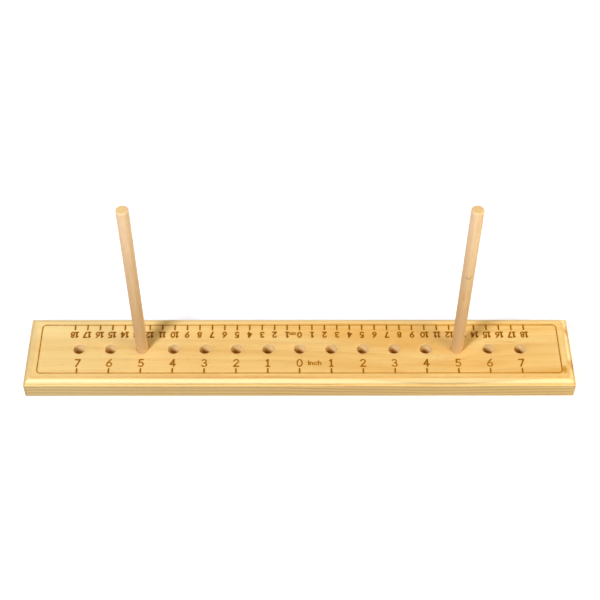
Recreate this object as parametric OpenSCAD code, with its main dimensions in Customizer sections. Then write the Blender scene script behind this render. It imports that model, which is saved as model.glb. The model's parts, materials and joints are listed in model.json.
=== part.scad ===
// Peg board for tying bows and fringe: a moulded pine board with a row of
// blind holes between two engraved scales, and two loose dowel pegs.
// X runs along the row of holes, Y from the front edge to the back edge, Z up.
// The origin is on the underside, in the middle of the board.

/* [Board] */
// Length of the board
board_l = 440; // [430:1:480]
// Width of the board
board_w = 66.8; // [62:0.1:80]
// Thickness of the board
board_t = 19.05; // [17:0.05:26]
// Bevel that breaks the bottom edges
bottom_bevel = 0.5; // [0.2:0.1:1.5]

/* [Moulded edge] */
// Height of the small step above the quarter round
edge_step = 0.8; // [0.3:0.1:2]
// Radius of the quarter round
edge_r = 3.9; // [2:0.1:5]
// Width of the flat ledge below the quarter round
edge_ledge = 1.3; // [0.5:0.1:2]

/* [Peg holes] */
// Distance from one hole to the next
hole_pitch = 25.4; // [20:0.1:27]
// Number of holes on each side of the middle hole
holes_per_side = 7; // [6:1:7]
// Depth of each blind hole
hole_depth = 12.7; // [8:0.1:15]
// Bevel around the mouth of each hole
mouth_bevel = 0.4; // [0.1:0.1:1]

/* [Pegs] */
// Diameter of each peg
peg_d = 9.525; // [6:0.005:11]
// Length of each peg
peg_l = 177.8; // [80:0.1:250]
// Bevel at both ends of each peg
peg_bevel = 0.8; // [0.2:0.1:2]
// Hole that each peg stands in, counted from the middle hole
peg_place = 5; // [1:1:6]
// Gap all round between a peg and the wall of its hole
peg_gap = 0.05; // [0.02:0.01:0.1]

/* [Engraving] */
// Length of the engraved border
border_l = 419.1; // [400:0.1:419.5]
// Width of the engraved border
border_w = 48.26; // [44:0.02:51]
// Radius of the border's corners
border_r = 3; // [1.5:0.1:6]
// Width of every engraved line
line_w = 0.7; // [0.4:0.1:1.2]
// Depth of every engraved line
line_depth = 0.3; // [0.1:0.05:0.8]
// Length of the tick in front of each hole
front_tick = 4.2; // [2:0.1:6]
// Length of the ticks of the scale along the back
back_tick = 5.2; // [2:0.1:6]
// Distance from one tick of the back scale to the next
back_pitch = 10.16; // [9:0.02:10.9]
// Number of back ticks on each side of the middle one
back_ticks_per_side = 18; // [10:1:18]

/* [Hidden] */
$fn = 64;
cut = 1;                                   // how far a cutter runs past the wood
edge_w = edge_ledge + edge_r;              // width of the moulding, seen from above
ledge_z = board_t - edge_step - edge_r;    // height of the moulding's ledge
hole_d = peg_d + 2 * peg_gap;              // diameter of each hole
hole_floor_z = board_t - hole_depth;       // height of the bottom of each hole
peg_x = peg_place * hole_pitch;            // distance of each peg from the middle
border_y = border_w / 2;                   // front and back lines of the border

// Cross-section of the board, `across` wide, standing on the X axis
module moulded_outline(across) {
    half = across / 2;
    polygon([
        [-half + bottom_bevel, 0], [half - bottom_bevel, 0],
        [half, bottom_bevel], [half, ledge_z], [-half, ledge_z], [-half, bottom_bevel],
    ]);
    translate([-half + edge_w, 0]) square([across - 2 * edge_w, board_t]);
    for (side = [-1, 1]) translate([side * (half - edge_w), ledge_z]) circle(r = edge_r);
}

// The moulding runs round all four sides, so its lengths meet in mitred corners
module moulded_blank() {
    intersection() {
        translate([-board_l / 2, 0, 0]) rotate([90, 0, 90])
            linear_extrude(board_l) moulded_outline(board_w);
        translate([0, board_w / 2, 0]) rotate([90, 0, 0])
            linear_extrude(board_w) moulded_outline(board_l);
    }
}

// Drill for one blind hole, with its bevelled mouth
module hole_cutter() {
    r = hole_d / 2;
    rotate_extrude() polygon([
        [0, hole_floor_z], [r, hole_floor_z], [r, board_t - mouth_bevel],
        [r + mouth_bevel, board_t], [r + mouth_bevel, board_t + cut], [0, board_t + cut],
    ]);
}

module rounded_rectangle(l, w, r) {
    square([l - 2 * r, w], center = true);
    square([l, w - 2 * r], center = true);
    for (x = [-1, 1], y = [-1, 1]) translate([x * (l / 2 - r), y * (w / 2 - r)]) circle(r = r);
}

module border_line() {
    difference() {
        rounded_rectangle(border_l + line_w, border_w + line_w, border_r + line_w / 2);
        rounded_rectangle(border_l - line_w, border_w - line_w, border_r - line_w / 2);
    }
}

// Row of ticks that start on the border line at y and run `reach` towards the holes
module tick_row(per_side, pitch, y, reach) {
    for (i = [-per_side:per_side])
        translate([i * pitch - line_w / 2, y > 0 ? y - reach : y]) square([line_w, reach]);
}

module engraving() {
    translate([0, 0, board_t - line_depth]) linear_extrude(line_depth + cut) {
        border_line();
        tick_row(holes_per_side, hole_pitch, -border_y, front_tick);
        tick_row(back_ticks_per_side, back_pitch, border_y, back_tick);
    }
}

module board() {
    color([0.93, 0.77, 0.49]) difference() {
        moulded_blank();
        for (i = [-holes_per_side:holes_per_side]) translate([i * hole_pitch, 0, 0]) hole_cutter();
        engraving();
    }
}

// One dowel peg, standing on the bottom of the hole at x
module peg(x) {
    r = peg_d / 2;
    translate([x, 0, hole_floor_z]) rotate_extrude() polygon([
        [0, 0], [r - peg_bevel, 0], [r, peg_bevel],
        [r, peg_l - peg_bevel], [r - peg_bevel, peg_l], [0, peg_l],
    ]);
}

module left_peg() {
    color([0.89, 0.72, 0.53]) peg(-peg_x);
}

module right_peg() {
    color([0.89, 0.72, 0.53]) peg(peg_x);
}

board();
left_peg();
right_peg();
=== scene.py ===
"""Looks of a wooden peg board for tying bows and fringe.

A moulded pine board carries a row of blind holes between two engraved scales, and two dowel pegs stand in
the holes. Lengths are millimetres in this file, and each mesh is scaled to metres when it is made. X runs
along the row of holes, Y from the front edge to the back edge, and Z up.
"""
import json
import logging
import math
from dataclasses import dataclass, field, replace
from enum import Enum
from typing import ClassVar, Iterable, Mapping, Optional, Sequence, Union

import bmesh
import bpy
import numpy as np
from mathutils import Matrix, Vector
from mathutils.geometry import delaunay_2d_cdt


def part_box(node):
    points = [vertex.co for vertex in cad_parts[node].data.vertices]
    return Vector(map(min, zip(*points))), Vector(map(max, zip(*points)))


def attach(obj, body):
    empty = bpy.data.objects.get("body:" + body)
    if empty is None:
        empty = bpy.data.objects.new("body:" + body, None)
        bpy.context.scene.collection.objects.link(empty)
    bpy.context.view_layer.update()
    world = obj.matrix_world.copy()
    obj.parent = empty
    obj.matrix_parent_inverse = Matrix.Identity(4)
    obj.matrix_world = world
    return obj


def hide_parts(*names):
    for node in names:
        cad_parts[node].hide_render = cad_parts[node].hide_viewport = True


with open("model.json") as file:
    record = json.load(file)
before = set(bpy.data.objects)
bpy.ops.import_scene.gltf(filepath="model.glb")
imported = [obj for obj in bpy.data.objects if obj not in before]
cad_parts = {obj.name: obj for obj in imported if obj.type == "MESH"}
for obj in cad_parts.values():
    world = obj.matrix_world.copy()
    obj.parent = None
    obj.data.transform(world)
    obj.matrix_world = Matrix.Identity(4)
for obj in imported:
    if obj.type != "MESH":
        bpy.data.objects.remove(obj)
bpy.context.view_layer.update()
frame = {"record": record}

MM = 0.001
TINY = 1e-6
log = logging.getLogger("peg_board")

Span = tuple[float, float]
Point = tuple[float, float]
Place = tuple[float, float, float]
Colour = tuple[float, float, float]


def srgb(red: int, green: int, blue: int) -> Colour:
    """Turn a colour as a screen shows it into the linear one that shaders use.

    Args:
        red: Red, from 0 to 255.
        green: Green, from 0 to 255.
        blue: Blue, from 0 to 255.

    Returns:
        The linear colour, from 0 to 1.
    """
    shares = (red / 255, green / 255, blue / 255)
    linear = [c / 12.92 if c <= 0.04045 else ((c + 0.055) / 1.055) ** 2.4 for c in shares]
    return linear[0], linear[1], linear[2]


# Shader expressions


@dataclass(frozen=True)
class Wire:
    """One output socket of a node tree. Arithmetic on a number adds its Math nodes."""

    tree: "Tree"
    socket: bpy.types.NodeSocket

    def __add__(self, other: "Number") -> "Wire":
        """Return self + other."""
        return self.tree.math("ADD", self, other)

    def __radd__(self, other: "Number") -> "Wire":
        """Return other + self."""
        return self.tree.math("ADD", other, self)

    def __sub__(self, other: "Number") -> "Wire":
        """Return self - other."""
        return self.tree.math("SUBTRACT", self, other)

    def __rsub__(self, other: "Number") -> "Wire":
        """Return other - self."""
        return self.tree.math("SUBTRACT", other, self)

    def __mul__(self, other: "Number") -> "Wire":
        """Return self * other."""
        return self.tree.math("MULTIPLY", self, other)

    def __rmul__(self, other: "Number") -> "Wire":
        """Return other * self."""
        return self.tree.math("MULTIPLY", other, self)

    def __truediv__(self, other: "Number") -> "Wire":
        """Return self / other."""
        return self.tree.math("DIVIDE", self, other)

    def __rtruediv__(self, other: "Number") -> "Wire":
        """Return other / self."""
        return self.tree.math("DIVIDE", other, self)

    def __neg__(self) -> "Wire":
        """Return -self."""
        return self.tree.math("SUBTRACT", 0.0, self)

    def root(self) -> "Wire":
        """Return the square root."""
        return self.tree.math("SQRT", self)

    def floor(self) -> "Wire":
        """Return the whole number below."""
        return self.tree.math("FLOOR", self)

    def fraction(self) -> "Wire":
        """Return what is left above the whole number below."""
        return self.tree.math("FRACT", self)

    def magnitude(self) -> "Wire":
        """Return the value without its sign."""
        return self.tree.math("ABSOLUTE", self)

    def sine(self) -> "Wire":
        """Return the sine of an angle in radians."""
        return self.tree.math("SINE", self)

    def at_most(self, other: "Number") -> "Wire":
        """Return the smaller of self and other."""
        return self.tree.math("MINIMUM", self, other)

    def rise(self, low: float, high: float) -> "Wire":
        """Return a smooth step that is 0 at low and 1 at high."""
        span = {"Value": self, "From Min": low, "From Max": high}
        return self.tree.node("ShaderNodeMapRange", "Result", {"interpolation_type": "SMOOTHSTEP"}, span)

    def fall(self, low: float, high: float) -> "Wire":
        """Return a smooth step that is 1 at low and 0 at high."""
        return 1.0 - self.rise(low, high)

    def sibling(self, output: str) -> "Wire":
        """Return another output of the same node."""
        return Wire(self.tree, self.socket.node.outputs[output])

    def scaled(self, factor: "Number") -> "Wire":
        """Return this colour or vector times a number."""
        inputs = {"Vector": self, "Scale": factor}
        return self.tree.node("ShaderNodeVectorMath", "Vector", {"operation": "SCALE"}, inputs)

    def towards(self, other: "Paint", share: "Number") -> "Wire":
        """Return this colour mixed with another one, which a share of 1 gives alone."""
        return self.tree.mix(self, other, share)


Number = Union[Wire, float]
Paint = Union[Wire, Colour]
Socket = Union[Wire, float, Sequence[float]]


class Tree:
    """Node tree of one material or of the world, built by expressions."""

    def __init__(self, owner: Union[bpy.types.Material, bpy.types.World]) -> None:
        """Empty the owner's node tree.

        Args:
            owner: The material or world that holds the tree.
        """
        owner.use_nodes = True
        self.nodes = owner.node_tree.nodes
        self.links = owner.node_tree.links
        self.nodes.clear()

    def node(
        self,
        kind: str,
        output: str = "",
        settings: Optional[Mapping[str, object]] = None,
        inputs: Optional[Mapping[Union[str, int], Socket]] = None,
    ) -> Optional[Wire]:
        """Add a node, set it up, and then fill its sockets.

        Args:
            kind: The node's type.
            output: The output to return, or nothing for a node that ends the tree.
            settings: Properties of the node, set before its sockets.
            inputs: A value or a link for each socket, by name, identifier or place.

        Returns:
            The chosen output, or None.
        """
        made = self.nodes.new(kind)
        for name, value in (settings or {}).items():
            setattr(made, name, value)
        for key, value in (inputs or {}).items():
            socket = self.find(made.inputs, key)
            if isinstance(value, Wire):
                self.links.new(value.socket, socket)
            elif socket.type == "RGBA":
                socket.default_value = (*value, 1.0)
            else:
                socket.default_value = value
        return Wire(self, self.find(made.outputs, output)) if output else None

    @staticmethod
    def find(sockets: bpy.types.bpy_prop_collection, key: Union[str, int]) -> bpy.types.NodeSocket:
        """Find a socket by place, identifier or name.

        Args:
            sockets: The inputs or outputs of a node.
            key: The place, identifier or name.

        Returns:
            The socket.
        """
        if isinstance(key, int):
            return sockets[key]
        return next((s for s in sockets if s.identifier == key), None) or sockets[key]

    def math(self, operation: str, first: Number, second: Number = 0.0) -> Wire:
        """Add one Math node for a sum on one or two values."""
        return self.node("ShaderNodeMath", "Value", {"operation": operation}, {0: first, 1: second})

    def mix(self, first: Paint, second: Paint, share: Number) -> Wire:
        """Mix two colours.

        Args:
            first: The colour that a share of 0 gives alone.
            second: The colour that a share of 1 gives alone.
            share: Share of the second colour.

        Returns:
            The mixed colour.
        """
        inputs = {"Factor_Float": share, "A_Color": first, "B_Color": second}
        return self.node("ShaderNodeMix", "Result_Color", {"data_type": "RGBA"}, inputs)

    def vector(self, x: Number, y: Number, z: Number) -> Wire:
        """Join three numbers into a vector."""
        return self.node("ShaderNodeCombineXYZ", "Vector", None, {"X": x, "Y": y, "Z": z})

    def place(self) -> tuple[Wire, Wire, Wire]:
        """Place of the shaded point in the part's own frame.

        Returns:
            X, Y and Z, in millimetres.
        """
        metres = self.node("ShaderNodeTexCoord", "Object")
        x = self.node("ShaderNodeSeparateXYZ", "X", None, {"Vector": metres.scaled(1 / MM)})
        return x, x.sibling("Y"), x.sibling("Z")

    def facing(self, axis: str) -> Wire:
        """Return how far the surface faces along an axis of the part, either way, from 0 to 1."""
        normal = self.node("ShaderNodeTexCoord", "Normal")
        return self.node("ShaderNodeSeparateXYZ", axis, None, {"Vector": normal}).magnitude()

    def rounded(self, axis: str) -> Wire:
        """Return 1 where the surface faces between an axis and upwards, and 0 on the flats."""
        return (self.facing(axis) * self.facing("Z")).rise(0.1, 0.42)

    def looked_at(self) -> Wire:
        """Tell the camera's rays from all others.

        Returns:
            1 for the camera's rays, also by way of mirrors and glass, and 0 for all others.
        """
        camera = self.node("ShaderNodeLightPath", "Is Camera Ray")
        mirrored = camera.sibling("Is Glossy Ray") + camera.sibling("Is Transmission Ray")
        return (camera + mirrored).at_most(1.0)

    def attribute(self, name: str) -> Wire:
        """Return a number that the mesh carries at its vertices."""
        return self.node("ShaderNodeAttribute", "Fac", {"attribute_name": name})

    def noise(self, x: Number, y: Number, z: Number, detail: float = 2.0, rough: float = 0.5) -> Wire:
        """Soft random pattern whose features are about one unit across.

        Args:
            x: First coordinate, divided by the size of a feature.
            y: Second coordinate, divided by the size of a feature.
            z: Third coordinate, divided by the size of a feature.
            detail: How many finer layers are added.
            rough: How strong the finer layers are.

        Returns:
            The pattern, from 0 to 1 about a half.
        """
        inputs = {"Vector": self.vector(x, y, z), "Scale": 1.0, "Detail": detail, "Roughness": rough}
        return self.node("ShaderNodeTexNoise", "Fac", None, inputs)

    def finish(self, colour: Wire, roughness: Number, height: Wire, lacquer: float, relief: float) -> None:
        """End a material with its surface shader.

        Args:
            colour: Base colour.
            roughness: Roughness.
            height: Relief of the surface, in millimetres.
            lacquer: Weight of the clear coat.
            relief: How strongly the relief shows.
        """
        inputs = {"Height": height, "Distance": MM, "Strength": relief}
        bump = self.node("ShaderNodeBump", "Normal", None, inputs)
        surface = {
            "Base Color": colour, "Roughness": roughness, "Normal": bump,
            "IOR": 1.46, "Specular IOR Level": 0.15,
            "Coat Weight": lacquer, "Coat Roughness": 0.3, "Coat IOR": 1.5,
        }
        shader = self.node("ShaderNodeBsdfPrincipled", "BSDF", None, surface)
        self.node("ShaderNodeOutputMaterial", "", None, {"Surface": shader})


# Finishes


@dataclass(frozen=True)
class GrainStreak:
    """A long darker or lighter streak in the board's wood, placed as it is seen from above."""

    x: float
    y: float
    length: float
    width: float
    slope: float
    strength: float

    def mask(self, x: Wire, y: Wire, waver: Wire) -> Wire:
        """Return where the streak lies.

        Args:
            x: X of the shaded point.
            y: Y of the shaded point.
            waver: Small sideways waver of the grain.

        Returns:
            The streak's strength in its middle, falling softly to 0.
        """
        along = (x - self.x) / self.length
        across = (y + waver - self.y - (x - self.x) * self.slope) / self.width
        return self.strength / (1.0 + along * along * 4.0 + across * across * 4.0)


@dataclass(frozen=True)
class PineFinish:
    """Flat-sawn pine under a thin satin lacquer, with growth rings about a pith below the board."""

    name: str = "lacquered_pine"
    early: Colour = srgb(249, 214, 146)
    late: Colour = srgb(227, 176, 103)
    honey: Colour = srgb(237, 187, 105)
    cream: Colour = srgb(255, 234, 176)
    end_grain: Colour = srgb(191, 150, 95)
    # Pale yellow of the painted highlight on the rounded mouldings, also mixed a little into the sides
    band: Colour = srgb(255, 241, 199)
    resin: Colour = srgb(208, 146, 42)
    char: Colour = srgb(120, 68, 0)
    amber: Colour = srgb(214, 148, 0)
    # Dark orange of the burnish and of the painted shade in the creases
    burnish: Colour = srgb(206, 142, 72)
    pith_y: float = -46.0
    pith_z: float = -80.0
    ring_gap: float = 3.9
    dip_x: float = 116.0
    dip_reach: float = 50.0
    dip_depth: float = 3.8
    band_z: float = 19.2
    band_drop: float = 4.4
    # Where along or across the board each change sets in and is complete: changes of the wood, the
    # darkening of the end mouldings' rims with painted shade at the left one, and painted light on the back
    # of the top
    honey_x: Span = (-120.0, 110.0)
    cream_x: Span = (-225.0, -20.0)
    left_calm_x: Span = (-90.0, 70.0)
    right_calm_x: Span = (150.0, 205.0)
    left_rim_x: Span = (217.0, 219.4)
    right_rim_x: Span = (217.4, 219.2)
    end_moulding_x: Span = (213.4, 214.4)
    back_strip_y: Span = (25.5, 27.0)
    back_half_y: Span = (8.0, 16.0)
    dark_streaks: tuple[GrainStreak, ...] = (
        GrainStreak(44, 15, 80, 13, -0.05, 0.6),
        GrainStreak(92, 4, 64, 10, -0.1, 0.7),
        GrainStreak(151, -15.5, 30, 5, 0.15, 0.6),
        GrainStreak(-18, -6, 110, 2.6, -0.07, 0.4),
        GrainStreak(48, -14.5, 50, 3.6, -0.11, 0.45),
        GrainStreak(107, -16, 44, 2, -0.02, 0.5),
        GrainStreak(168, 0, 60, 5, 0.18, 0.35),
        GrainStreak(88, 19, 40, 7, -0.06, 0.45),
        GrainStreak(134, -9.5, 14, 1.8, 0.22, 0.6),
        GrainStreak(207, -22, 20, 3, 0.1, 0.7),
        GrainStreak(182, -23.5, 26, 2.2, 0.05, 0.7),
        GrainStreak(-150, 1, 90, 3.2, 0.0, 0.3),
        GrainStreak(-40, -19, 90, 2.4, 0.0, 0.25),
    )
    pale_streaks: tuple[GrainStreak, ...] = (
        GrainStreak(6, 8, 72, 8, -0.08, 0.7),
        GrainStreak(116, -8, 52, 6, 0.0, 0.7),
        GrainStreak(143, 0, 15, 9, 0.3, 0.5),
        GrainStreak(186, 10, 50, 9, -0.05, 0.4),
        GrainStreak(154, 7.5, 20, 3.6, 0.1, 0.6),
        GrainStreak(84, 7, 50, 3, -0.09, 0.4),
        GrainStreak(72, -14, 50, 3, -0.04, 0.4),
        GrainStreak(-205, 20, 90, 24, 0.0, 0.5),
        GrainStreak(215, -3, 7, 30, 0.0, 0.9),
        GrainStreak(122, -28.5, 90, 7, 0.0, 0.7),
    )
    flecks: tuple[GrainStreak, ...] = (
        GrainStreak(61, -5, 7, 0.8, -0.05, 0.6),
        GrainStreak(-134, -5.3, 8, 0.7, 0.0, 0.4),
        GrainStreak(-87, -2, 6, 0.6, 0.0, 0.35),
        GrainStreak(-86, -6, 6, 0.6, 0.0, 0.35),
        GrainStreak(158, 4.4, 6, 1, -0.2, 0.5),
        GrainStreak(167, 6.4, 13, 1, -0.12, 0.55),
        GrainStreak(30, 8, 14, 0.9, -0.05, 0.4),
    )
    resin_spots: tuple[Place, ...] = ((217.4, 18.5, 5.0), (218.0, -14.5, 7.5), (211.6, -20.8, 5.0))
    resin_streak: GrainStreak = GrainStreak(196, -23.8, 26, 1.8, 0.02, 0.85)

    def sag(self, x: Wire, depth: float, sharpness: float = 1.0) -> Wire:
        """How far the grain sags at one place along the board.

        Args:
            x: X of the shaded point.
            depth: How far it sags at the most.
            sharpness: How soon the sag ends on both sides.

        Returns:
            The sag, in millimetres.
        """
        along = (x - self.dip_x) / self.dip_reach
        return depth / (1.0 + along * along * sharpness)

    def rings(self, tree: Tree, x: Wire, y: Wire, z: Wire) -> Wire:
        """Growth rings, cut as the pith's distance from each point of the board says.

        Args:
            tree: The material's node tree.
            x: X of the shaded point.
            y: Y of the shaded point.
            z: Z of the shaded point.

        Returns:
            0 in the pale early wood and up to 1 in the dark late wood.
        """
        drift = tree.noise(x / 150.0, y / 46.0, z / 46.0, 1.0) - 0.5
        ripple = tree.noise(x / 32.0, y / 6.0, z / 6.0, 2.0) - 0.5
        across, up = y - self.pith_y, z - self.pith_z
        plain = (across * across + up * up).root()
        turn = (plain + drift * 5.0 + ripple * 0.8 + self.sag(x, self.dip_depth)) / self.ring_gap
        ring = turn.fraction()
        late = ring.rise(0.4, 0.9) * ring.fall(0.93, 1.0)
        own = tree.noise(turn.floor() * 3.7, 0.0, 0.0, 0.0)
        patchy = tree.noise(x / 60.0, y / 16.0, z / 16.0, 1.0)
        calm = tree.facing("Z") * (x.fall(*self.left_calm_x) * 0.58 + x.rise(*self.right_calm_x) * 0.45)
        return late * (0.35 + own * 0.95) * (0.5 + patchy * 0.8) * (1.0 - calm)

    def grain(self, tree: Tree) -> tuple[Wire, Wire, Wire]:
        """Colour and relief of the bare wood.

        Args:
            tree: The material's node tree.

        Returns:
            The colour, the strength of the late wood, and the relief in millimetres.
        """
        x, y, z = tree.place()
        late = self.rings(tree, x, y, z)
        fibre = tree.noise(x / 14.0, y / 0.34, z / 0.34, 3.0, 0.6) - 0.5
        strand = tree.noise(x / 55.0, y / 1.5, z / 1.5, 2.0) - 0.5
        broad = tree.noise(x / 95.0 + 4.0, y / 22.0, z / 30.0, 1.0)
        canal = tree.noise(x / 5.0, y / 0.3, z / 0.3, 0.0).rise(0.72, 0.8)
        waver = strand * 3.0 + (tree.noise(x / 22.0, y / 5.0, 0.0, 1.0) - 0.5) * 5.0

        def total(streaks: Sequence[GrainStreak]) -> Wire:
            """Joint strength of some streaks."""
            return sum((s.mask(x, y, waver) for s in streaks), start=late * 0.0).at_most(0.9)

        dark, pale = total(self.dark_streaks), total(self.pale_streaks)
        colour = tree.mix(self.early, self.late, late.at_most(1.0))
        colour = colour.towards(self.honey, x.rise(*self.honey_x) * 0.32 + broad.rise(0.46, 0.72) * 0.35)
        colour = colour.towards(self.cream, x.fall(*self.cream_x) * 0.35 + pale * 0.9)
        colour = colour.towards(self.honey, dark)
        colour = colour.towards(self.late, dark * 0.35 + total(self.flecks))
        colour = colour.scaled(1.0 + fibre * 0.11 + strand * 0.13 - canal * 0.16)
        relief = late * 0.012 + fibre * 0.02 - canal * 0.03
        return colour, late, relief

    def add_resin(self, tree: Tree, colour: Wire, x: Wire, y: Wire) -> Wire:
        """Add the amber patches of resin at the right end.

        Args:
            tree: The material's node tree.
            colour: Colour of the wood without them.
            x: X of the shaded point.
            y: Y of the shaded point.

        Returns:
            The colour with them.
        """
        ragged = tree.noise(x / 3.0, y / 6.0, 0.0, 2.0) - 0.5
        for spot_x, spot_y, reach in self.resin_spots:
            away_x, away_y = (x - spot_x) / reach, (y - spot_y) / reach
            spot = ((away_x * away_x * 4.0 + away_y * away_y).root() + ragged * 0.9).fall(0.15, 1.1)
            colour = colour.towards(self.resin, spot * 0.9)
        streak = self.resin_streak.mask(x, y, ragged * 1.2)
        return colour.towards(self.resin, streak * streak)

    def add_edges(self, tree: Tree, colour: Wire, late: Wire) -> Wire:
        """Set the upright sides, the rounded mouldings and the back of the top off from the plain wood.

        The sides show their late wood and get painted shade, the mouldings painted highlights, and the back
        of the top painted light.

        Args:
            tree: The material's node tree.
            colour: Colour of the wood without them.
            late: Strength of the late wood.

        Returns:
            The colour with them.
        """
        x, y, z = tree.place()
        side = tree.facing("Y").rise(0.6, 1.0)
        colour = colour.towards(self.end_grain, side * late * 0.75)
        # Painted shade: the upright sides are darkened, with a little of the highlight's pale yellow mixed
        # in
        colour = colour.towards(self.band, side * 0.12).scaled(1.0 - side * 0.2)
        # Painted highlight on the rounded mouldings, paler below a line that sags with the grain figure and
        # darker above it
        rounded = tree.rounded("Y")
        pale = (self.band_z - self.sag(x, self.band_drop, 1.2) - z).rise(-0.4, 0.5)
        colour = colour.towards(self.band, rounded * (0.38 + pale * 0.22))
        colour = colour.scaled(1.0 + rounded * (pale * 0.22 - 0.12))
        # Painted highlight on the rounded end mouldings
        colour = colour.towards(self.cream, tree.rounded("X") * 0.5)
        top = tree.facing("Z").rise(0.9, 1.0)
        # Painted light: the strip at the back of the top is lightened, and the back half of the top a
        # little too
        strip = y.rise(*self.back_strip_y) * top
        lightened = 1.0 + strip * 0.03 + y.rise(*self.back_half_y) * top * 0.06
        return colour.towards(self.cream, strip * 0.7).scaled(lightened)

    def build(self) -> bpy.types.Material:
        """Make the material of the board's outside, its engraving included.

        Returns:
            The material.
        """
        material = bpy.data.materials.new(self.name)
        tree = Tree(material)
        colour, late, relief = self.grain(tree)
        x, y, z = tree.place()
        ends = tree.facing("X").rise(0.3, 0.9)
        pores = tree.noise(x / 0.5, y / 0.22, z / 0.22, 1.0)
        patches = tree.noise(y / 9.0, z / 9.0, 2.0, 1.0).rise(0.45, 0.6)
        # End grain darkens the end faces; painted shade darkens the outer rim of the left end's moulding,
        # where it turns away, and patchy darkening marks the right one's rim
        rim = (-x).rise(*self.left_rim_x) + x.rise(*self.right_rim_x) * patches
        darker_ends = (ends + rim * 0.8).at_most(1.0)
        colour = colour.towards(self.end_grain, darker_ends * (0.4 + late * 0.2 + pores * 0.15))
        colour = self.add_edges(tree, colour, late)
        # Burnish and painted shade: darker along the top's crease, the step, the foot of the round and the
        # hole mouths, uneven like rubbing, and less on the end mouldings
        inner = 1.0 - (-x).rise(*self.end_moulding_x) - x.rise(*self.end_moulding_x) * 0.5
        rubbed_and_shaded = tree.attribute("burnish") * (0.7 + tree.noise(x / 18.0, y / 3.0, z / 3.0, 1.0) * 0.6)
        colour = colour.towards(self.burnish, rubbed_and_shaded * inner * 0.35)
        scuff = tree.noise(x / 5.0, y / 5.0, z / 5.0, 3.0, 0.6)
        worn = tree.attribute("wear") * scuff.rise(0.42, 0.6)
        colour = colour.towards(self.cream, worn * 0.4)
        colour = self.add_resin(tree, colour, x, y)
        uneven = tree.noise(x / 4.0, y / 1.6, z / 1.6, 2.0)
        burn = tree.attribute("burn") * (0.75 + uneven * 0.55 - late * 0.12)
        colour = colour.towards(self.amber, burn.rise(0.04, 0.62) * 0.9)
        colour = colour.towards(self.char, burn.rise(0.42, 1.05) * 0.92)
        smudge = tree.noise(x / 30.0, y / 18.0, z / 18.0, 2.0)
        rough = 0.4 + smudge * 0.12 + worn * 0.12 + burn * 0.3 + ends * 0.15 - late * 0.04
        height = relief + (pores - 0.5) * ends * 0.05 + (uneven - 0.5) * burn * 0.06 - worn * 0.02
        tree.finish(colour, rough, height, lacquer=0.2, relief=0.7)
        return material


@dataclass(frozen=True)
class BoredWoodFinish:
    """Bare pine in a drilled hole, rougher than the top, drill-marked, and painted with shade deeper down.
    """

    top_z: float
    depth: float
    pine: PineFinish = PineFinish()
    name: str = "bored_pine"
    bare: Colour = srgb(253, 228, 180)
    deep: Colour = srgb(228, 172, 60)

    def build(self) -> bpy.types.Material:
        """Make the material.

        Returns:
            The material.
        """
        material = bpy.data.materials.new(self.name)
        tree = Tree(material)
        colour, late, relief = self.pine.grain(tree)
        x, y, z = tree.place()
        down = (self.top_z - z) / self.depth
        below_rim = down.rise(0.05, 0.3)
        colour = colour.towards(self.bare, 0.5 + below_rim * 0.4)
        furrow = (z * 15.0 + tree.noise(x / 2.0, y / 2.0, z / 2.0) * 6.0).sine()
        torn = tree.noise(x / 1.2, y / 0.5, z / 0.5, 3.0, 0.65)
        # Drill furrows and torn grain, and painted shade just below the mouth, darkest at the rim
        colour = colour.scaled(0.84 + below_rim * 0.08 + furrow * 0.04 + torn * 0.12)
        # Painted shade, deepening towards the bottom of the hole
        colour = colour.towards(self.deep, down.rise(0.4, 0.95) * 0.9)
        height = relief + furrow * 0.02 + torn * 0.06
        tree.finish(colour, 0.72 + torn * 0.1 - late * 0.03, height, lacquer=0.0, relief=0.8)
        return material


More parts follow.
